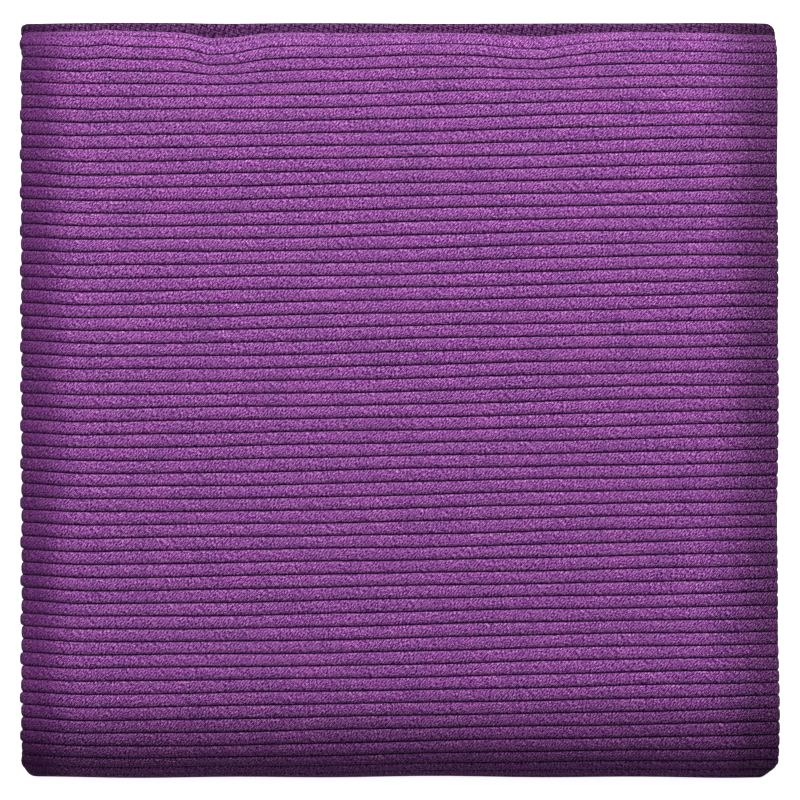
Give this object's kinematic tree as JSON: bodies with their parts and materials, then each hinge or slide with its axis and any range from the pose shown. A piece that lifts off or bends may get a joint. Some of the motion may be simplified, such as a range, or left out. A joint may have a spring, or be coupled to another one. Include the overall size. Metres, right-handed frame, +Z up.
{
  "type": "quick-dry towel",
  "caption": "Ribbed quick-dry travel towel folded into a square packet, with turned hems and a last fold that opens flat.",
  "frame": {"origin": "middle of the packet's footprint, on the surface that it lies on", "axes": "+Z up through the stacked layers, -Y towards the spine that the last fold turns about, -X towards the lengthwise folds"},
  "size_m": [0.2, 0.2, 0.0237],
  "materials": {
    "cloth": "ribbed knit, matte",
    "hem": "flat knit, matte",
    "thread": "spun polyester thread",
    "label": "woven satin tape, blank"
  },
  "bodies": {
    "lower_half": {"care_label": "label", "first_quarter_cloth": "cloth", "first_quarter_end_hem": "hem", "first_quarter_end_stitching": "thread", "first_quarter_side_hem": "hem", "first_quarter_side_stitching": "thread", "fourth_quarter_cloth": "cloth", "fourth_quarter_end_hem": "hem", "fourth_quarter_end_stitching": "thread", "fourth_quarter_side_hem": "hem", "fourth_quarter_side_stitching": "thread", "inner_spine_fold": "cloth", "outer_spine_fold": "cloth"},
    "upper_half": {"second_quarter_cloth": "cloth", "second_quarter_side_hem": "hem", "second_quarter_side_stitching": "thread", "third_quarter_cloth": "cloth", "third_quarter_side_hem": "hem", "third_quarter_side_stitching": "thread", "upper_end_fold": "cloth"}
  },
  "joints": [
    {"name": "last_fold", "type": "hinge", "parent": "lower_half", "child": "upper_half", "pos_m": [0, -0.09065, 0.01185], "axis": [1, 0, 0], "range_deg": [0, 180], "deforming": ["outer_spine_fold", "inner_spine_fold"]}
  ]
}
